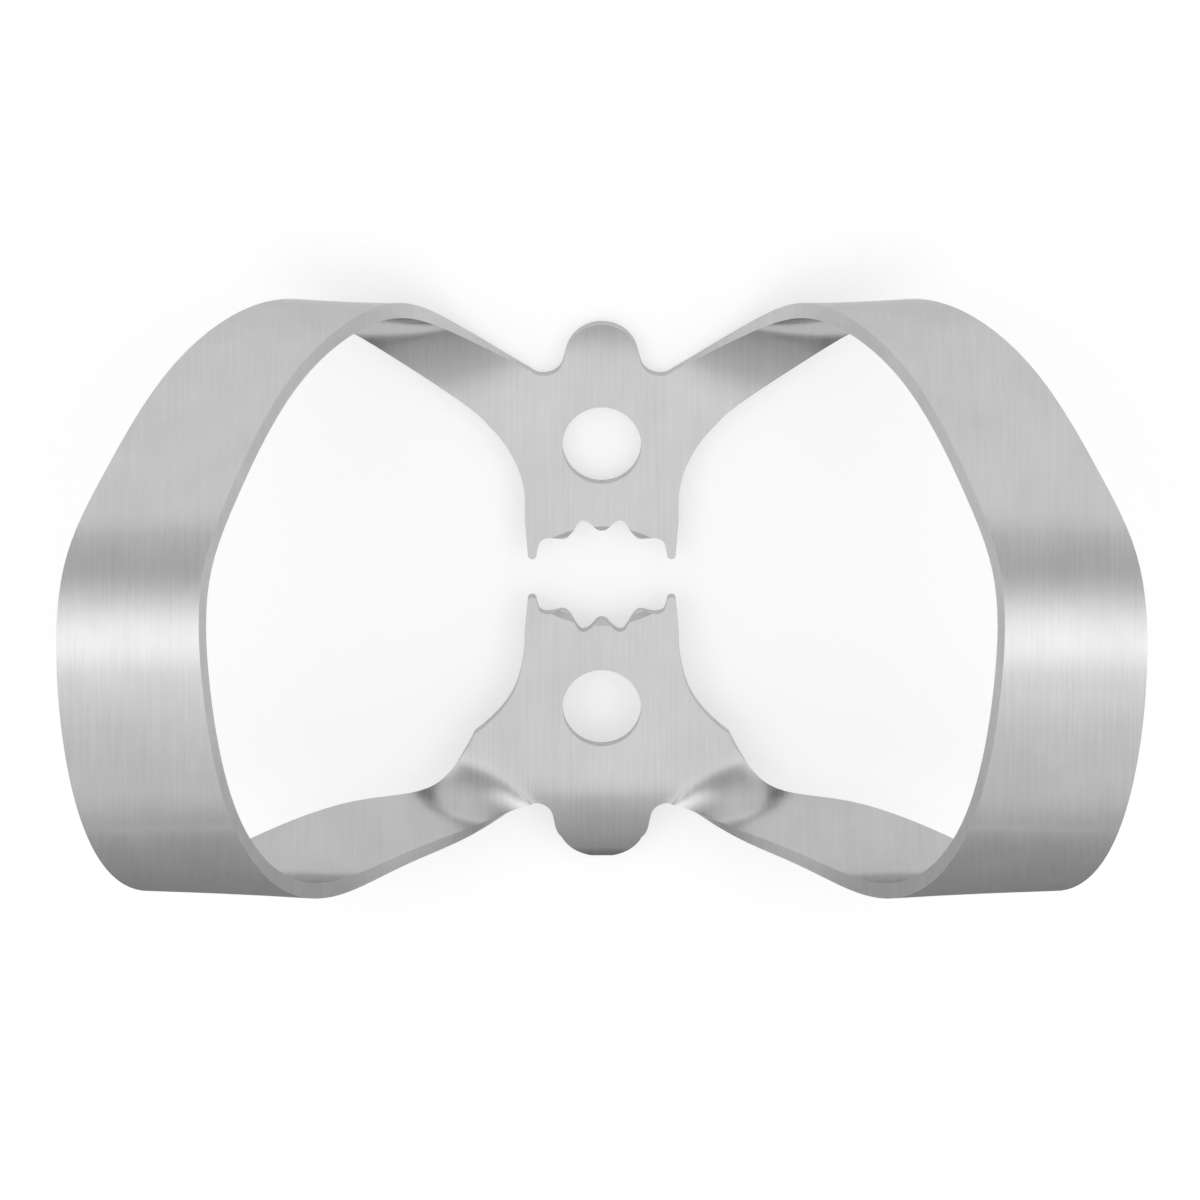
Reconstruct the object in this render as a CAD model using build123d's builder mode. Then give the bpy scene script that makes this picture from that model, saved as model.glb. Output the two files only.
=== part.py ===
from build123d import *

import math
import os
from dataclasses import dataclass

os.makedirs("parts", exist_ok=True)

# Rubber dam clamp with two bows, punched and bent from one piece of spring steel sheet.
# Millimetres. +Z is up, the jaws lie nearly level and the bows rise over them to either side.
# X runs from bow to bow, Y from the near jaw to the far jaw. The clamp is the same either side of X = 0.
# It is drawn with level jaws, about the middle of the gap between them, and laid on the ground at the end.

# Thickness of the sheet, and so the height of the jaws' upper face over their underside
sheet = 0.6
# Forceps holes, one in each jaw
hole_radius = 1.53
hole_centre = 5.27

# Bite edge of the far jaw, measured from the line midway between the jaws
tooth_reach = 1.80
tooth_flank_half = 0.33
tooth_flank_reach = 2.03
notch_reach = 2.27
notch_centre = 0.76
notch_flank_half = 1.09
notch_flank_reach = 1.86
crest_reach = 1.47
crest_centre = 1.45
dip_reach = 1.56
dip_centre = 2.05
prong_centre = 2.70
prong_tip_radius = 0.17
prong_root_reach = 1.25
prong_root_half = 0.24
neck_half = 2.98

# Grind on the upper side of the teeth, an arc seen from above
grind_reach = 2.03
grind_radius = 4.2
grind_depth = 0.22
grind_back = 0.22

# Driving sizes of a bow: how far its inner edge stands out, how high it rises over the jaws, how far
# each of its legs swings out along Y, and its widest width
bow_reach = 15.0
bow_rise = 15.6
far_swing = 11.3
near_swing = 10.4
bow_width = 6.5


@dataclass(frozen=True)
class Jaw:
    """Half the outline of one jaw, its tongue's curl and how far its bite stands forward.

    A point of the flank is (half width, distance from the line midway between the jaws), and the heading
    runs the same way. The tongue's valley, foot, shoulder and cheek are (half width, distance back from
    its tip), and it ends in a round from cheek to cheek. curl_radius is that of its curl's hollow side.
    It curls up where curls_up is true and down elsewhere, and the sheet goes on through curl_sweep
    degrees, unless the outline ends it before.
    """

    bite_advance: float
    prong_reach: float
    flank: list
    flank_heading: tuple
    valley: tuple
    foot: tuple
    shoulder: tuple
    cheek: tuple
    tip_reach: float
    curl_start: float
    curl_radius: float
    curl_sweep: float
    curls_up: bool


@dataclass(frozen=True)
class Station:
    """One cross section of the left bow.

    x, y and z place the corner of the inner edge on the inner face, as shares of the bow's reach, of
    its leg's swing and of its rise over the jaws' upper face. width is the strip's width there as a
    share of the widest, lean how steeply the width rises to the inner edge in degrees, and turn the
    heading of the width seen from above in degrees.
    """

    x: float
    y: float
    z: float
    width: float
    lean: float
    turn: float


far_side = Jaw(
    bite_advance=0,
    prong_reach=0.71,
    flank=[(3.03, 3.60), (3.27, 4.42), (3.64, 5.14)],
    flank_heading=(0.70, 0.70),
    valley=(2.20, 2.09),
    foot=(1.64, 1.82),
    shoulder=(1.42, 1.25),
    cheek=(1.22, 0.70),
    tip_reach=10.15,
    curl_start=8.6,
    curl_radius=7.0,
    curl_sweep=20,
    curls_up=True,
)
near_side = Jaw(
    bite_advance=0.07,
    prong_reach=0.82,
    flank=[(3.11, 3.66), (3.44, 4.66), (3.95, 5.41), (4.43, 5.90)],
    flank_heading=(0.80, 0.60),
    valley=(2.45, 2.54),
    foot=(2.04, 2.31),
    shoulder=(1.84, 1.69),
    cheek=(1.56, 1.02),
    tip_reach=11.67,
    curl_start=8.2,
    curl_radius=4.0,
    curl_sweep=48,
    curls_up=False,
)

# Sections of the left bow from the far jaw, up and over the arch, to the near jaw
stations = [
    Station(-0.183, 0.729, 0.000, 0.418, 0, 52.6),
    Station(-0.217, 0.755, 0.002, 0.392, 1, 49),
    Station(-0.260, 0.788, 0.010, 0.385, 4, 42),
    Station(-0.393, 0.894, 0.061, 0.400, 16, 30),
    Station(-0.547, 0.996, 0.231, 0.585, 28, 5),
    Station(-0.760, 0.903, 0.538, 0.815, 32, 3),
    Station(-0.933, 0.575, 0.814, 0.900, 32, 3),
    Station(-1.000, 0.345, 0.929, 0.938, 30, 2),
    Station(-1.003, 0.018, 1.000, 0.969, 27, 2),
    Station(-0.933, -0.529, 0.923, 1.000, 25, 6),
    Station(-0.800, -0.894, 0.647, 1.015, 27, 7),
    Station(-0.640, -1.010, 0.346, 0.892, 38, -3),
    Station(-0.473, -0.971, 0.179, 0.554, 46, -29),
    Station(-0.327, -0.928, 0.080, 0.369, 32, -41),
    Station(-0.247, -0.902, 0.026, 0.423, 11, -46),
    Station(-0.210, -0.889, 0.005, 0.485, 2, -50),
    Station(-0.183, -0.882, 0.000, 0.554, 0, -52.5),
]


def across(station: Station) -> Vector:
    """Unit vector across the strip, from its outer edge to its inner edge."""
    lean = math.radians(station.lean)
    turn = math.radians(station.turn)
    return Vector(math.cos(lean) * math.cos(turn), math.cos(lean) * math.sin(turn), math.sin(lean))


def inner_corner(station: Station) -> Vector:
    """Corner of the strip's inner edge on its inner face."""
    swing = far_swing if station.y > 0 else near_swing
    return Vector(station.x * bow_reach, station.y * swing, station.z * bow_rise + sheet)


def outer_corner(station: Station) -> Vector:
    """Corner of the strip's outer edge on its inner face."""
    return inner_corner(station) - across(station) * station.width * bow_width


def middle(station: Station) -> Vector:
    """Middle of the strip's inner face."""
    return (inner_corner(station) + outer_corner(station)) / 2


def section_plane(index: int) -> Plane:
    """Plane of one cross section, its origin in the middle of the sheet and its X across the strip."""
    station = stations[index]
    here = middle(station)
    run = Vector(0, 0, 0)
    if index > 0:
        run += (here - middle(stations[index - 1])).normalized()
    if index < len(stations) - 1:
        run += (middle(stations[index + 1]) - here).normalized()
    if station.lean == 0:
        run = Vector(run.X, run.Y, 0)
    width_way = across(station)
    run = (run - width_way * run.dot(width_way)).normalized()
    outward = run.cross(width_way)
    return Plane(origin=here + outward * (sheet / 2), x_dir=width_way, z_dir=run)


# The bow: a strip of the sheet that leaves the far jaw level, twists up on edge, arches over with its
# width leaning outward, and comes down to the near jaw
with BuildPart() as left_bow:
    for place, station in enumerate(stations):
        with BuildSketch(section_plane(place)):
            Rectangle(station.width * bow_width, sheet)
    loft()


def bite_curve(jaw: Jaw) -> Edge:
    """Half the bite edge seen from above, from the middle tooth out to the root of a prong."""
    level = (1, 0)
    down_the_prong = (0.1, -1)
    return Spline(
        (0, tooth_reach - jaw.bite_advance),
        (tooth_flank_half, tooth_flank_reach - jaw.bite_advance),
        (notch_centre, notch_reach - jaw.bite_advance),
        (notch_flank_half, notch_flank_reach - jaw.bite_advance),
        (crest_centre, crest_reach - jaw.bite_advance),
        (dip_centre, dip_reach - jaw.bite_advance),
        (prong_centre - prong_root_half, prong_root_reach),
        tangents=[level, down_the_prong],
    )


def jaw_outline(jaw: Jaw, cut: Station) -> Sketch:
    """Outline of one jaw seen from above, its bite edge toward Y = 0 and its tongue toward +Y.

    cut is the section where the arm leaves the jaw.
    """
    outer_end = (abs(outer_corner(cut).X), abs(outer_corner(cut).Y))
    inner_end = (abs(inner_corner(cut).X), abs(inner_corner(cut).Y))
    tongue = [(half, jaw.tip_reach - back) for half, back in (jaw.valley, jaw.foot, jaw.shoulder, jaw.cheek)]
    cheek_half, cheek_back = jaw.cheek
    round_radius = (cheek_half**2 + cheek_back**2) / (2 * cheek_back)
    half_turn = math.degrees(math.atan2(cheek_half, round_radius - cheek_back))
    with BuildSketch() as outline:
        with BuildLine():
            bite = bite_curve(jaw)
            inside = Line(bite @ 1, (prong_centre - prong_tip_radius, jaw.prong_reach + prong_tip_radius))
            point = ThreePointArc(
                inside @ 1,
                (prong_centre, jaw.prong_reach),
                (prong_centre + prong_tip_radius, jaw.prong_reach + prong_tip_radius),
            )
            neck = Line(point @ 1, (neck_half, notch_reach))
            side = Spline(neck @ 1, *jaw.flank, outer_end, tangents=[(0, 1), jaw.flank_heading])
            arm = Line(side @ 1, inner_end)
            Spline(arm @ 1, *tongue)
            CenterArc((0, jaw.tip_reach - round_radius), round_radius, 90 - half_turn, half_turn)
            Line((0, jaw.tip_reach), bite @ 0)
        make_face()
        mirror(about=Plane.YZ)
    return outline.sketch


def curled_profile(jaw: Jaw) -> Sketch:
    """The sheet seen along X, level up to the tongue and curled from there on."""
    hollow = jaw.curl_radius
    crown = jaw.curl_radius + sheet
    forward = (1, 0)
    with BuildSketch() as profile:
        with BuildLine():
            if jaw.curls_up:
                upper = JernArc((jaw.curl_start, sheet), forward, hollow, jaw.curl_sweep)
                lower = JernArc((jaw.curl_start, 0), forward, crown, jaw.curl_sweep)
            else:
                upper = JernArc((jaw.curl_start, sheet), forward, crown, -jaw.curl_sweep)
                lower = JernArc((jaw.curl_start, 0), forward, hollow, -jaw.curl_sweep)
            Line(upper @ 1, lower @ 1)
            Polyline(lower @ 0, (0, 0), (0, sheet), upper @ 0)
        make_face()
    return profile.sketch


def grind_area(jaw: Jaw) -> Sketch:
    """What the grind takes off seen from above, at its lowest level, between the prongs."""
    foremost = grind_reach - jaw.bite_advance - grind_back
    with BuildSketch() as area:
        with Locations((0, foremost - grind_radius)):
            Circle(grind_radius)
        Rectangle(
            2 * (prong_centre - prong_root_half),
            foremost,
            align=(Align.CENTER, Align.MIN),
            mode=Mode.INTERSECT,
        )
    return area.sketch


def make_jaw(jaw: Jaw, cut: Station) -> Part:
    """One jaw: its outline punched through the sheet, its hole, and the grind on its teeth."""
    outline = jaw_outline(jaw, cut)
    profile = curled_profile(jaw)
    ground = grind_area(jaw)
    with BuildPart() as body:
        with BuildSketch(Plane.YZ):
            add(profile)
        extrude(amount=2 * hole_centre, both=True)
        with BuildSketch():
            add(outline)
        extrude(amount=jaw.tip_reach, both=True, mode=Mode.INTERSECT)
        with Locations((0, hole_centre, 0)):
            Cylinder(hole_radius, 2 * jaw.tip_reach, mode=Mode.SUBTRACT)
        with BuildSketch(Plane.XY.offset(sheet - grind_depth)):
            add(ground)
        extrude(amount=2 * grind_depth, dir=(0, grind_back, grind_depth), mode=Mode.SUBTRACT)
    return body.part


far_jaw = make_jaw(far_side, stations[0])
near_jaw = make_jaw(near_side, stations[-1])

with BuildPart() as clamp:
    add(far_jaw)
    add(mirror(near_jaw, about=Plane.XZ))
    add(left_bow.part)
    mirror(left_bow.part, about=Plane.YZ)

# The clamp comes to rest on the tip of its near tongue, which curls down, and on the far jaw where its
# tongue starts to curl up, over the middle of its own outline
near_curl = math.radians(near_side.curl_sweep)
tongue_drop = near_side.curl_radius * (1 - math.cos(near_curl))
tongue_end = near_side.curl_start + near_side.curl_radius * math.sin(near_curl)
rest_tilt = math.degrees(math.atan(tongue_drop / (tongue_end + far_side.curl_start)))
clamp.part.orientation = (-rest_tilt, 0, 0)
laid = clamp.part.bounding_box()
clamp.part.position -= (0, laid.center().Y, laid.min.Z)
clamp.part.label = "clamp"
export_step(clamp.part, "parts/clamp.step")
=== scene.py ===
"""Looks of a rubber dam clamp: satin spring steel, brushed before it was bent, with lightly rounded edges.

Metres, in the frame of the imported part: X from bow to bow, Y from the near jaw to the far jaw, Z up.
"""

import logging
import math
from dataclasses import dataclass, field
from enum import Enum, IntEnum

import bmesh
import bpy
import numpy as np
from mathutils import Matrix, Vector

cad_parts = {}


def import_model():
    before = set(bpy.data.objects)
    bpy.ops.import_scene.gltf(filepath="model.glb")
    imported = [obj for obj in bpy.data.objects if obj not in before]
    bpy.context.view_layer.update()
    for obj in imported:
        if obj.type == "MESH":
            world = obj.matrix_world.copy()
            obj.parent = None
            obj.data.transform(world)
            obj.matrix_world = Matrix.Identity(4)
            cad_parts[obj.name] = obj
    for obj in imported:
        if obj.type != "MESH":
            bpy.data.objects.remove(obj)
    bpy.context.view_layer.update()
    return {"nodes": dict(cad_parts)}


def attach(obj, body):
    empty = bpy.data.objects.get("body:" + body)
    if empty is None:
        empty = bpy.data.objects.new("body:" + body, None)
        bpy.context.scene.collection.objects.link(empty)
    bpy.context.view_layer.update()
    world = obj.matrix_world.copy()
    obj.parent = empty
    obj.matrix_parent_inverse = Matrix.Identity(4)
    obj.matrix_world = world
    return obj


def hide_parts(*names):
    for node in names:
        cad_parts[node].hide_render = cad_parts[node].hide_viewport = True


log = logging.getLogger("clamp")

MM = 0.001
ROOT_BODY = "root"
CLAMP_NODE = "clamp"
FACE_KIND = "face_kind"
# Mask of the walls and rounded edges: rougher there, and painted lighter there as painted light and a
# painted highlight.
CUT_EDGE = "cut_edge"
MIX_FIRST_COLOUR = 6
MIX_SECOND_COLOUR = 7
MIX_RESULT_COLOUR = 2


class Axis(Enum):
    """Directions of the photograph's camera, in the part's frame."""

    TOWARD_CAMERA = "toward"
    PICTURE_UP = "up"
    PICTURE_DOWN = "down"
    PICTURE_RIGHT = "right"


class Kind(IntEnum):
    """What made a face of the clamp."""

    SHEET = 0
    WALL = 1
    GROUND = 2
    ROUNDED = 3


@dataclass(frozen=True)
class Viewpoint:
    """Where the photograph was taken from.

    The camera looks down on the clamp, tipped from the vertical toward the far jaw. The jaws lie
    tilted, because the near tongue curls down to the ground, and the camera's tip is counted from them.
    """

    rest_tilt_deg: float = 3.83
    tip_from_jaws_deg: float = 15.0
    aim: tuple[float, float, float] = (-0.07 * MM, -1.09 * MM, 1.48 * MM)
    width: float = 46.54 * MM
    distance: float = 1.2
    sensor: float = 36.0
    clip_factor: float = 10.0

    def direction(self, axis: Axis) -> Vector:
        """Unit vector of one of the camera's directions.

        Args:
            axis: which direction.

        Returns:
            The vector in the part's frame.
        """
        tip = math.radians(self.tip_from_jaws_deg + self.rest_tilt_deg)
        sine, cosine = math.sin(tip), math.cos(tip)
        vectors = {
            Axis.TOWARD_CAMERA: Vector((0, sine, cosine)),
            Axis.PICTURE_UP: Vector((0, cosine, -sine)),
            Axis.PICTURE_DOWN: Vector((0, -cosine, sine)),
            Axis.PICTURE_RIGHT: Vector((1, 0, 0)),
        }
        return vectors[axis]

    def make_camera(self) -> bpy.types.Object:
        """Make the scene's camera.

        Returns:
            The camera object, already set as the scene's camera.
        """
        data = bpy.data.cameras.new("camera")
        data.sensor_width = self.sensor
        data.lens = self.sensor * self.distance / self.width
        data.clip_start = self.distance / self.clip_factor
        data.clip_end = self.distance * self.clip_factor
        camera = bpy.data.objects.new("camera", data)
        bpy.context.scene.collection.objects.link(camera)
        right = self.direction(Axis.PICTURE_RIGHT)
        up = self.direction(Axis.PICTURE_UP)
        back = self.direction(Axis.TOWARD_CAMERA)
        turn = Matrix((right, up, back)).transposed().to_4x4()
        turn.translation = Vector(self.aim) + back * self.distance
        camera.matrix_world = turn
        bpy.context.scene.camera = camera
        return camera


@dataclass(frozen=True)
class NodeBench:
    """A small helper that adds and links shader nodes in one tree."""

    tree: bpy.types.NodeTree

    def add(self, kind: str, **values: object) -> bpy.types.Node:
        """Add a node and set its own properties.

        Args:
            kind: the node's type name.
            values: properties of the node, by name.

        Returns:
            The new node.
        """
        node = self.tree.nodes.new(kind)
        for name, value in values.items():
            setattr(node, name, value)
        return node

    def math(self, operation: str, first: object, second: object = None) -> bpy.types.NodeSocket:
        """Add a Math node.

        Args:
            operation: the operation's name.
            first: a socket or a number.
            second: a socket, a number or nothing.

        Returns:
            The node's output.
        """
        node = self.add("ShaderNodeMath", operation=operation)
        for place, value in enumerate((first, second)):
            if isinstance(value, bpy.types.NodeSocket):
                self.tree.links.new(value, node.inputs[place])
            elif value is not None:
                node.inputs[place].default_value = value
        return node.outputs[0]

    def dot(self, vector: bpy.types.NodeSocket, fixed: Vector) -> bpy.types.NodeSocket:
        """Add a dot product with a fixed vector.

        Args:
            vector: the vector socket.
            fixed: the fixed vector.

        Returns:
            The product's socket.
        """
        node = self.add("ShaderNodeVectorMath", operation="DOT_PRODUCT")
        self.tree.links.new(vector, node.inputs[0])
        node.inputs[1].default_value = fixed
        return node.outputs["Value"]

    def ramp(self, factor: bpy.types.NodeSocket, stops: list[tuple[float, float]]) -> bpy.types.NodeSocket:
        """Add a grey ramp.

        Args:
            factor: what the ramp reads, from 0 to 1.
            stops: place and grey level of each stop, in order.

        Returns:
            The ramp's colour socket.
        """
        node = self.add("ShaderNodeValToRGB")
        node.color_ramp.interpolation = "LINEAR"
        elements = node.color_ramp.elements
        while len(elements) < len(stops):
            elements.new(1.0)
        for element, (place, level) in zip(elements, stops):
            element.position = place
            element.color = (level, level, level, 1.0)
        self.tree.links.new(factor, node.inputs[0])
        return node.outputs["Color"]

    def link(self, source: bpy.types.NodeSocket, target: bpy.types.NodeSocket) -> None:
        """Link two sockets."""
        self.tree.links.new(source, target)


@dataclass(frozen=True)
class BrushedSteel:
    """Satin spring steel whose brush lines run from jaw to jaw.

    The lines are a noise drawn out along Y and Z, so that it changes fast along X only. Cut edges are
    the walls that the punch left and the rounded edges. They are rougher, and their colour is painted
    lighter: painted light on the walls and a painted highlight along the rounded edges.
    """

    name: str = "brushed_spring_steel"
    colour: tuple[float, float, float] = (0.52, 0.523, 0.522)
    grazing_tint: tuple[float, float, float] = (0.8, 0.8, 0.8)
    roughness: float = 0.19
    roughness_swing: float = 0.08
    cut_roughness: float = 0.30
    # Painted light: how much lighter the colour is on cut walls, and the painted highlight on rounded
    # edges.
    cut_painted_light: float = 0.12
    line_scale: float = 9000.0
    run_scale: float = 260.0
    line_detail: float = 3.0
    line_harshness: float = 0.6
    line_depth: float = 0.0016 * MM
    line_strength: float = 0.35
    mottle_scale: float = 420.0
    mottle_detail: float = 2.0
    mottle_swing: float = 0.07
    least_noise: float = 0.6
    most_noise: float = 1.4

    def make(self) -> bpy.types.Material:
        """Make the material.

        Returns:
            The new material.
        """
        material = bpy.data.materials.new(self.name)
        material.use_nodes = True
        bench = NodeBench(material.node_tree)
        shader = material.node_tree.nodes["Principled BSDF"]
        shader.inputs["Metallic"].default_value = 1.0
        shader.inputs["Specular Tint"].default_value = (*self.grazing_tint, 1.0)
        place = bench.add("ShaderNodeTexCoord")
        drawn = bench.add("ShaderNodeMapping")
        drawn.inputs["Scale"].default_value = (self.line_scale, self.run_scale, self.run_scale)
        bench.link(place.outputs["Object"], drawn.inputs["Vector"])
        lines = bench.add("ShaderNodeTexNoise")
        lines.inputs["Scale"].default_value = 1.0
        lines.inputs["Detail"].default_value = self.line_detail
        lines.inputs["Roughness"].default_value = self.line_harshness
        bench.link(drawn.outputs["Vector"], lines.inputs["Vector"])
        mottle = bench.add("ShaderNodeTexNoise")
        mottle.inputs["Scale"].default_value = self.mottle_scale
        mottle.inputs["Detail"].default_value = self.mottle_detail
        bench.link(place.outputs["Object"], mottle.inputs["Vector"])
        noise = bench.math("ADD", lines.outputs["Fac"], mottle.outputs["Fac"])
        cut = bench.add("ShaderNodeAttribute", attribute_name=CUT_EDGE).outputs["Fac"]
        # The base colour carries painted light: it is lighter on cut walls and rounded edges.
        bench.link(self._colour(bench, noise, cut), shader.inputs["Base Color"])
        rough = bench.add("ShaderNodeMapRange")
        rough.inputs["To Min"].default_value = self.roughness - self.roughness_swing / 2
        rough.inputs["To Max"].default_value = self.roughness + self.roughness_swing / 2
        bench.link(lines.outputs["Fac"], rough.inputs["Value"])
        added = bench.math("MULTIPLY", cut, self.cut_roughness)
        bench.link(bench.math("ADD", rough.outputs["Result"], added), shader.inputs["Roughness"])
        bump = bench.add("ShaderNodeBump")
        bump.inputs["Strength"].default_value = self.line_strength
        bump.inputs["Distance"].default_value = self.line_depth
        bench.link(lines.outputs["Fac"], bump.inputs["Height"])
        bench.link(bump.outputs["Normal"], shader.inputs["Normal"])
        return material

    def _colour(
        self, bench: NodeBench, noise: bpy.types.NodeSocket, cut: bpy.types.NodeSocket
    ) -> bpy.types.NodeSocket:
        """Vary the steel's colour a little with its brush lines and with a broad mottle, and paint light
        on the cut edges.

        Args:
            bench: the material's nodes.
            noise: the sum of the brush lines' noise and the broad one.
            cut: 1 on cut edges and 0 elsewhere.

        Returns:
            The colour's socket.
        """
        level = bench.add("ShaderNodeMapRange")
        level.inputs["From Min"].default_value = self.least_noise
        level.inputs["From Max"].default_value = self.most_noise
        level.inputs["To Min"].default_value = 1 - self.mottle_swing
        level.inputs["To Max"].default_value = 1 + self.mottle_swing
        bench.link(noise, level.inputs["Value"])
        # Painted light on the walls and a painted highlight on the rounded edges: the colour is lighter
        # there.
        painted_edge_light = bench.math("ADD", bench.math("MULTIPLY", cut, self.cut_painted_light), 1.0)
        tint = bench.add("ShaderNodeVectorMath", operation="SCALE")
        tint.inputs[0].default_value = self.colour
        bench.link(bench.math("MULTIPLY", level.outputs["Result"], painted_edge_light), tint.inputs["Scale"])
        return tint.outputs["Vector"]


@dataclass(frozen=True)
class FittedNormals:
    """Smooth normals for a mesh whose corners lie on a curved sheet.

    Round each point the sheet's height over the point's own plane is taken as
    a*u + b*v + c*u*u + d*u*v + e*v*v, where u and v run along the plane. The five values are the least
    squares fit to the nearest points on the same side of the sheet, and a and b tip the normal.
    """

    reach: float = 1.3 * MM
    neighbours: int = 28
    same_side_cos: float = 0.80
    chunk: int = 400
    calm: float = 1e-4
    beside_x_cos: float = 0.7

    def fit(self, points: np.ndarray, rough: np.ndarray) -> np.ndarray:
        """Fit a normal at each point.

        Args:
            points: places of the points, one row each.
            rough: first guess of their normals, one row each.

        Returns:
            Unit normals, one row each.
        """
        order = np.argsort(points[:, 0], kind="stable")
        sorted_points, sorted_rough = points[order], rough[order]
        sideways = sorted_points[:, 0]
        fitted = np.empty_like(points)
        for first in range(0, len(points), self.chunk):
            last = min(first + self.chunk, len(points))
            low = np.searchsorted(sideways, sideways[first] - self.reach)
            high = np.searchsorted(sideways, sideways[last - 1] + self.reach)
            some = np.arange(first, last) - low
            window = slice(low, high)
            fitted[order[first:last]] = self._fit_some(sorted_points[window], sorted_rough[window], some)
        return fitted

    def _fit_some(self, points: np.ndarray, rough: np.ndarray, some: np.ndarray) -> np.ndarray:
        """Fit the normals of some of the points.

        Args:
            points: places of the points in reach.
            rough: first guess of their normals.
            some: numbers of the points to fit.

        Returns:
            Unit normals of those points.
        """
        apart = np.linalg.norm(points[None, :, :] - points[some][:, None, :], axis=2)
        apart[rough[some] @ rough.T < self.same_side_cos] = np.inf
        most = min(self.neighbours, len(points) - 1)
        near = np.argpartition(apart, most, axis=1)[:, :most]
        gap = np.take_along_axis(apart, near, axis=1) / self.reach
        weight = np.where(gap < 1, (1 - np.minimum(gap, 1) ** 2) ** 2, 0.0)
        up = rough[some]
        helper = np.where(np.abs(up[:, :1]) < self.beside_x_cos, [[1.0, 0.0, 0.0]], [[0.0, 1.0, 0.0]])
        along = np.cross(up, helper)
        along /= np.linalg.norm(along, axis=1, keepdims=True)
        across = np.cross(up, along)
        step = (points[near] - points[some][:, None, :]) / self.reach
        u, v, height = (np.einsum("nkc,nc->nk", step, way) for way in (along, across, up))
        terms = np.stack([u, v, u * u, u * v, v * v], axis=2)
        square = np.einsum("nki,nk,nkj->nij", terms, weight, terms) + self.calm * np.eye(terms.shape[2])
        right = np.einsum("nki,nk,nk->ni", terms, weight, height)
        slope = np.linalg.solve(square, right[:, :, None])[:, :, 0]
        normals = up - slope[:, :1] * along - slope[:, 1:2] * across
        return normals / np.linalg.norm(normals, axis=1, keepdims=True)


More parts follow.
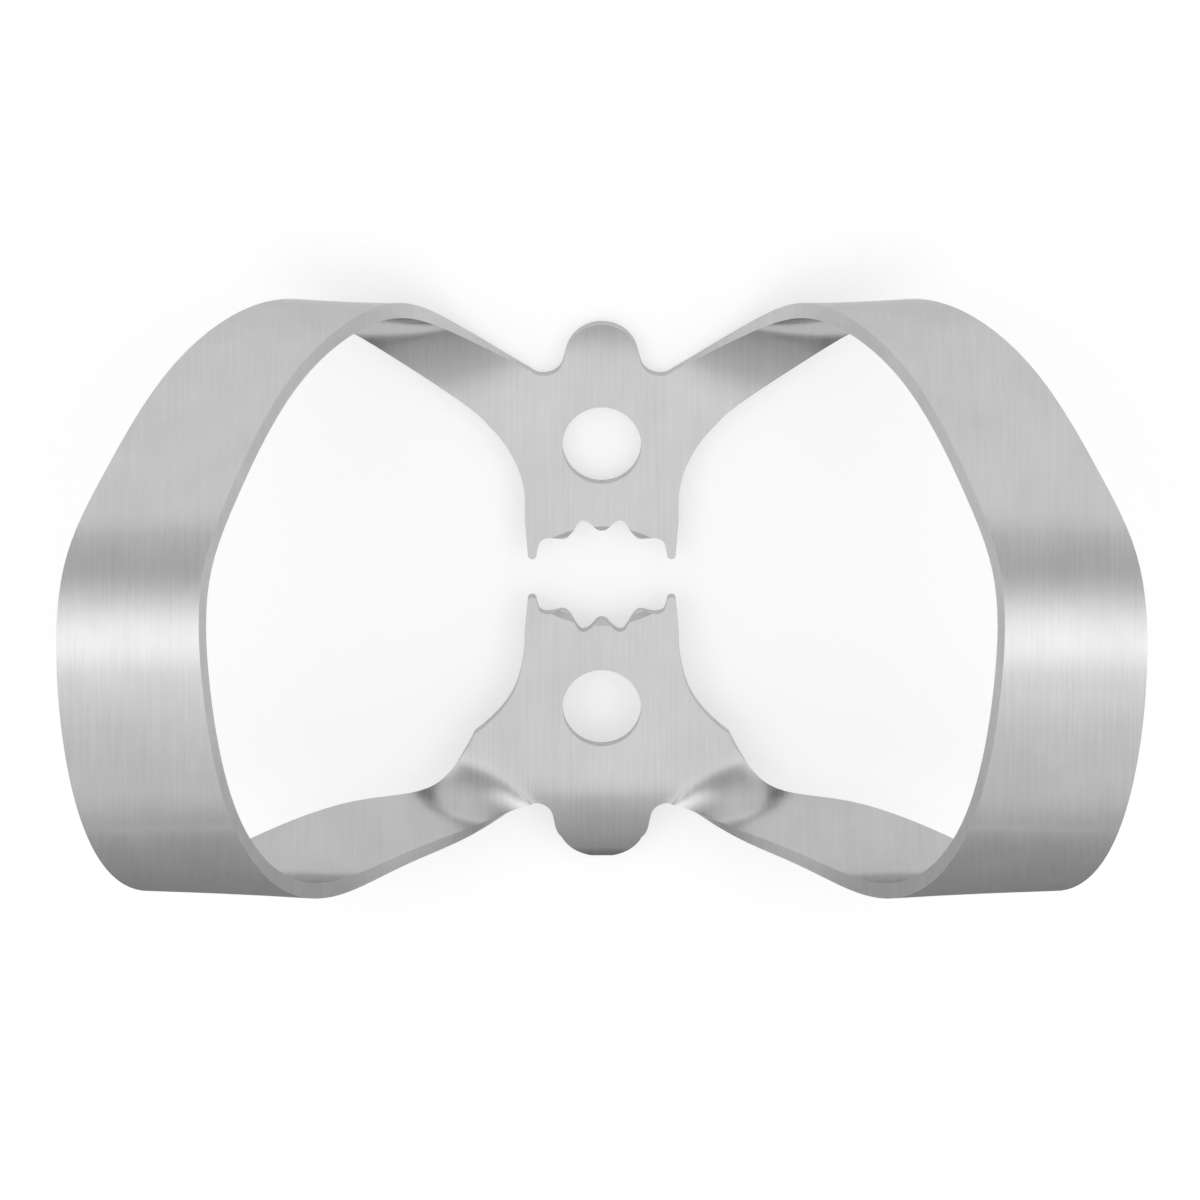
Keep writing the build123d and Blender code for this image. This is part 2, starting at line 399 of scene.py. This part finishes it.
@dataclass
class Clamp:
    """The clamp itself, one piece of steel, with its edges lightly rounded.

    The jaws are flat near the bite, a line along X at the depth called bite. Their teeth lie within
    teeth_half of the middle and within teeth_reach of that line.
    """

    steel: BrushedSteel = field(default_factory=BrushedSteel)
    normals: FittedNormals = field(default_factory=FittedNormals)
    edge_round: float = 0.06 * MM
    edge_steps: int = 2
    edge_profile: float = 0.5
    edge_angle_deg: float = 35.0
    flat_angle_deg: float = 0.02
    weld: float = 0.002 * MM
    longest_edge: float = 0.5 * MM
    rounds_of_cuts: int = 5
    sides_of_sheet: int = 2
    jaw_tilt_deg: float = 3.83
    bite: float = -0.27 * MM
    teeth_half: float = 3.0 * MM
    teeth_reach: float = 2.6 * MM
    ground_angle_deg: float = 3.0
    wall_cos: float = 0.3

    def build(self, node: bpy.types.Object) -> bpy.types.Object:
        """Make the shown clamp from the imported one.

        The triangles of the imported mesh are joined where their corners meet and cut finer, each edge
        sharper than the edge angle is rounded, and smooth normals are fitted to the faces between.

        Args:
            node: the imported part's mesh.

        Returns:
            The new piece, dressed and riding on its body.
        """
        shape = bmesh.new()
        shape.from_mesh(node.data)
        bmesh.ops.remove_doubles(shape, verts=shape.verts, dist=self.weld)
        bmesh.ops.dissolve_degenerate(shape, edges=shape.edges, dist=self.weld)
        bmesh.ops.dissolve_limit(
            shape, angle_limit=math.radians(self.flat_angle_deg), verts=shape.verts, edges=shape.edges
        )
        self._round_edges(shape)
        self._mark_kinds(shape)
        self._cut_finer(shape)
        mesh = bpy.data.meshes.new("clamp_steel")
        shape.to_mesh(mesh)
        shape.free()
        self._shade(mesh)
        mesh.materials.append(self.steel.make())
        piece = bpy.data.objects.new("clamp_steel", mesh)
        bpy.context.scene.collection.objects.link(piece)
        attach(piece, ROOT_BODY)
        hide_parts(CLAMP_NODE)
        return piece

    def _round_edges(self, shape: bmesh.types.BMesh) -> None:
        """Round the sharp edges and mark the faces that this makes.

        Args:
            shape: the mesh, changed in place.
        """
        limit = math.radians(self.edge_angle_deg)
        mark = shape.faces.layers.int.new(FACE_KIND)
        made = bmesh.ops.bevel(
            shape,
            geom=[edge for edge in shape.edges if edge.calc_face_angle(0.0) > limit],
            offset=self.edge_round,
            offset_type="OFFSET",
            segments=self.edge_steps,
            profile=self.edge_profile,
            affect="EDGES",
            clamp_overlap=True,
        )
        for face in made["faces"]:
            face[mark] = Kind.ROUNDED

    def _mark_kinds(self, shape: bmesh.types.BMesh) -> None:
        """Mark the sheet's faces, the walls that the punch left and the ground faces of the teeth.

        Faces that meet without a rounded edge between them make one patch. The two widest patches are
        the sheet's own faces, and all the others are walls. Near the bite the sheet is flat, so a face
        there that is turned from it was ground, or is a wall where it is turned far.

        Args:
            shape: the mesh, changed in place.
        """
        kind = shape.faces.layers.int[FACE_KIND]
        finish_and_painted_light = shape.faces.layers.float.new(CUT_EDGE)
        unseen = {face for face in shape.faces if face[kind] != Kind.ROUNDED}
        patches = []
        while unseen:
            patch, ahead = [], [unseen.pop()]
            while ahead:
                face = ahead.pop()
                patch.append(face)
                beside = {other for edge in face.edges for other in edge.link_faces} & unseen
                unseen -= beside
                ahead.extend(beside)
            patches.append(patch)
        patches.sort(key=lambda patch: sum(face.calc_area() for face in patch), reverse=True)
        for patch in patches[self.sides_of_sheet :]:
            for face in patch:
                face[kind] = Kind.WALL
        tilt = math.radians(self.jaw_tilt_deg)
        upright = Vector((0, math.sin(tilt), math.cos(tilt)))
        flat_cos = math.cos(math.radians(self.ground_angle_deg))
        for face in shape.faces:
            middle = face.calc_center_median()
            near_teeth = abs(middle.x) < self.teeth_half and abs(middle.y - self.bite) < self.teeth_reach
            if near_teeth and face[kind] != Kind.ROUNDED:
                level = abs(face.normal.dot(upright))
                if level < flat_cos:
                    face[kind] = Kind.GROUND if level > self.wall_cos else Kind.WALL
            # This mask makes these faces rougher, and paints light on them: lighter colour on the walls
            # and a painted highlight on the rounded edges.
            face[finish_and_painted_light] = 1.0 if face[kind] in (Kind.WALL, Kind.ROUNDED) else 0.0

    def _cut_finer(self, shape: bmesh.types.BMesh) -> None:
        """Halve the long edges until none is longer than the longest edge.

        Args:
            shape: the mesh, changed in place.
        """
        bmesh.ops.triangulate(shape, faces=shape.faces)
        for _ in range(self.rounds_of_cuts):
            long_edges = [edge for edge in shape.edges if edge.calc_length() > self.longest_edge]
            bmesh.ops.subdivide_edges(shape, edges=long_edges, cuts=1)
            bmesh.ops.triangulate(shape, faces=shape.faces)

    def _shade(self, mesh: bpy.types.Mesh) -> None:
        """Give the mesh its normals.

        A corner of the sheet's faces or of a wall takes the normal fitted to faces of its own kind, and
        a ground face the mean of such faces. A rounded edge runs from the one to the other, and a
        corner inside it takes the mean normal of the faces round it.

        Args:
            mesh: the mesh, with the kinds of its faces marked.
        """
        points = np.empty(len(mesh.vertices) * 3)
        mesh.vertices.foreach_get("co", points)
        points = points.reshape(-1, 3)
        corner_point = np.empty(len(mesh.loops), dtype=int)
        mesh.loops.foreach_get("vertex_index", corner_point)
        corners_each = np.empty(len(mesh.polygons), dtype=int)
        mesh.polygons.foreach_get("loop_total", corners_each)
        area = np.empty(len(mesh.polygons))
        mesh.polygons.foreach_get("area", area)
        facing = np.empty(len(mesh.polygons) * 3)
        mesh.polygons.foreach_get("normal", facing)
        facing = facing.reshape(-1, 3) * area[:, None]
        kind = np.empty(len(mesh.polygons), dtype=np.int32)
        mesh.attributes[FACE_KIND].data.foreach_get("value", kind)
        face_of_corner = np.repeat(np.arange(len(mesh.polygons)), corners_each)
        corner_kind = kind[face_of_corner]
        every = np.zeros_like(points)
        np.add.at(every, corner_point, facing[face_of_corner])
        given = every[corner_point]
        open_corner = corner_kind == Kind.ROUNDED
        for one in (Kind.SHEET, Kind.WALL, Kind.GROUND):
            own = corner_kind == one
            sums = np.zeros_like(points)
            np.add.at(sums, corner_point[own], facing[face_of_corner[own]])
            length = np.linalg.norm(sums, axis=1)
            held = length > 0
            sums[held] /= length[held, None]
            if one != Kind.GROUND:
                sums[held] = self.normals.fit(points[held], sums[held])
            taken = own | (open_corner & held[corner_point])
            given[taken] = sums[corner_point[taken]]
            open_corner &= ~taken
        given /= np.linalg.norm(given, axis=1, keepdims=True)
        mesh.polygons.foreach_set("use_smooth", np.ones(len(mesh.polygons), dtype=bool))
        mesh.normals_split_custom_set(given)
        for one in Kind:
            log.info("%d faces of the kind %s", np.count_nonzero(kind == one), one.name.lower())


@dataclass
class Studio:
    """A plain white floor under a soft white tent, with a lit band over the camera and the camera's own
    dark shape in the middle of it.

    Each stop of the tent is an angle in degrees, from the camera toward picture-down, and the tent's
    brightness there. One row holds along the tent's middle and the other out at its sides. Each stop of
    the card, whose glow paints a dark reflection into the bows, is a share of the way from its near edge
    to its far edge, and its brightness there.
    """

    view: Viewpoint = field(default_factory=Viewpoint)
    floor_half: float = 3.0
    floor_colour: tuple[float, float, float] = (0.55, 0.55, 0.55)
    floor_lift: float = 0.50
    level: float = 1.19
    top_level: float = 1.5
    half_turn_deg: float = 180.0
    card_half: float = 200.0 * MM
    card_near: float = -12.4 * MM
    card_far: float = -412.4 * MM
    card_height: float = 0.02 * MM
    card_stops: tuple[tuple[float, float], ...] = (
        (0.0, 0.23), (0.020, 0.40), (0.06, 0.48), (0.19, 0.55), (1.0, 0.60),
    )
    middle_end: float = 0.20
    side_start: float = 0.55
    middle_stops: tuple[tuple[float, float], ...] = (
        (-70, 0.78), (-45, 0.76), (-20, 0.62), (-6, 0.50), (9, 0.48), (16, 0.60), (21, 0.98), (25, 1.06),
        (30, 0.96), (38, 0.88), (50, 0.64), (70, 0.53), (95, 0.44), (110, 0.36),
    )
    side_stops: tuple[tuple[float, float], ...] = (
        (-66, 0.67), (-57, 0.61), (-47, 0.58), (-40, 0.64), (-30, 0.82), (-19, 1.05), (-10, 1.26),
        (-3, 1.38), (4, 1.44), (11, 1.41), (18, 1.30), (25, 1.10), (31, 1.02), (40, 1.00), (50, 0.91),
        (58, 0.83), (70, 0.80), (90, 0.77), (102, 0.72), (112, 0.62),
    )

    def make_tent(self) -> bpy.types.World:
        """Light the scene with the tent.

        The level depends on a direction's angle about X, counted from the camera, and on how far it
        points sideways.

        Returns:
            The world.
        """
        world = bpy.data.worlds.new("tent")
        world.use_nodes = True
        bench = NodeBench(world.node_tree)
        place = bench.add("ShaderNodeTexCoord").outputs["Generated"]
        toward = bench.dot(place, self.view.direction(Axis.TOWARD_CAMERA))
        down = bench.dot(place, self.view.direction(Axis.PICTURE_DOWN))
        sideways = bench.math("ABSOLUTE", bench.dot(place, self.view.direction(Axis.PICTURE_RIGHT)))
        angle = bench.math("ARCTAN2", down, toward)
        turned = bench.math("ADD", bench.math("DIVIDE", angle, 2 * math.pi), 0.5)
        share = bench.add("ShaderNodeMapRange", interpolation_type="SMOOTHSTEP")
        share.inputs["From Min"].default_value = self.middle_end
        share.inputs["From Max"].default_value = self.side_start
        bench.link(sideways, share.inputs["Value"])
        mix = bench.add("ShaderNodeMix", data_type="RGBA")
        bench.link(share.outputs["Result"], mix.inputs["Factor"])
        bench.link(bench.ramp(turned, self._ramp_stops(self.middle_stops)), mix.inputs[MIX_FIRST_COLOUR])
        bench.link(bench.ramp(turned, self._ramp_stops(self.side_stops)), mix.inputs[MIX_SECOND_COLOUR])
        background = world.node_tree.nodes["Background"]
        background.inputs["Strength"].default_value = self.level * self.top_level
        bench.link(mix.outputs[MIX_RESULT_COLOUR], background.inputs["Color"])
        bpy.context.scene.world = world
        return world

    def _ramp_stops(self, by_angle: tuple[tuple[float, float], ...]) -> list[tuple[float, float]]:
        """Stops for a ramp on which 0 is half a turn up and 1 half a turn down.

        Args:
            by_angle: angle and brightness of each stop.

        Returns:
            Place on the ramp and share of the top level of each stop.
        """
        whole_turn = 2 * self.half_turn_deg
        return [(0.5 + angle / whole_turn, level / self.top_level) for angle, level in by_angle]

    def make_floor(self) -> bpy.types.Object:
        """Make the white floor.

        It is lifted to white where the camera or a reflection sees it, over the shadow that it keeps.

        Returns:
            The floor.
        """
        corner = np.array([[-1.0, -1.0], [1.0, -1.0], [1.0, 1.0], [-1.0, 1.0]]) * self.floor_half
        points = np.column_stack([corner, np.zeros(len(corner))])
        mesh = bpy.data.meshes.new("floor")
        mesh.from_pydata(points.tolist(), [], [tuple(range(len(points)))])
        material = bpy.data.materials.new("floor_white")
        material.use_nodes = True
        shader = material.node_tree.nodes["Principled BSDF"]
        shader.inputs["Base Color"].default_value = (*self.floor_colour, 1.0)
        shader.inputs["Roughness"].default_value = 1.0
        shader.inputs["Specular IOR Level"].default_value = 0.0
        shader.inputs["Emission Color"].default_value = (1.0, 1.0, 1.0, 1.0)
        bench = NodeBench(material.node_tree)
        rays = bench.add("ShaderNodeLightPath").outputs
        seen = bench.math("MAXIMUM", rays["Is Camera Ray"], rays["Is Glossy Ray"])
        seen = bench.math("MAXIMUM", seen, rays["Is Transmission Ray"])
        bench.link(bench.math("MULTIPLY", seen, self.floor_lift), shader.inputs["Emission Strength"])
        mesh.materials.append(material)
        floor = bpy.data.objects.new("floor", mesh)
        bpy.context.scene.collection.objects.link(floor)
        return floor

    def make_card(self) -> bpy.types.Object:
        """Lay a glowing grey card on the floor before the clamp, which only reflections see.

        Its glow is a painted dark reflection in the steepest parts of the bows. It keeps the white floor
        out of them, as a photographer's dark card does, and its glow grows lighter away from the clamp.

        Returns:
            The card.
        """
        near, far, side, height = self.card_near, self.card_far, self.card_half, self.card_height
        points = [(-side, far, height), (side, far, height), (side, near, height), (-side, near, height)]
        mesh = bpy.data.meshes.new("dark_card")
        mesh.from_pydata(points, [], [tuple(range(len(points)))])
        material = bpy.data.materials.new("card_painted_reflection")
        material.use_nodes = True
        shader = material.node_tree.nodes["Principled BSDF"]
        shader.inputs["Base Color"].default_value = (0.0, 0.0, 0.0, 1.0)
        shader.inputs["Roughness"].default_value = 1.0
        shader.inputs["Specular IOR Level"].default_value = 0.0
        shader.inputs["Emission Strength"].default_value = 1.0
        bench = NodeBench(material.node_tree)
        split = bench.add("ShaderNodeSeparateXYZ")
        bench.link(bench.add("ShaderNodeTexCoord").outputs["Object"], split.inputs[0])
        away = bench.add("ShaderNodeMapRange")
        away.inputs["From Min"].default_value = near
        away.inputs["From Max"].default_value = far
        bench.link(split.outputs["Y"], away.inputs["Value"])
        level = bench.ramp(away.outputs["Result"], list(self.card_stops))
        # The glow that the bows reflect: a painted dark reflection, darkest next to the clamp.
        bench.link(level, shader.inputs["Emission Color"])
        mesh.materials.append(material)
        card = bpy.data.objects.new("dark_card", mesh)
        card.visible_camera = False
        card.visible_diffuse = False
        card.visible_shadow = False
        bpy.context.scene.collection.objects.link(card)
        return card


def main() -> None:
    """Build the clamp and its studio."""
    logging.basicConfig(level=logging.INFO, format="%(name)s: %(message)s")
    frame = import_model()
    clamp = Clamp().build(frame["nodes"][CLAMP_NODE])
    log.info("%s: %d faces", clamp.name, len(clamp.data.polygons))
    studio = Studio()
    log.info("%s: the ground it lies on", studio.make_floor().name)
    log.info("%s: seen by the steep parts of its bows", studio.make_card().name)
    log.info("%s: the light round it", studio.make_tent().name)
    log.info("%s: the viewpoint", studio.view.make_camera().name)
    bpy.context.scene.view_settings.view_transform = "Standard"


if __name__ == "__main__":
    main()
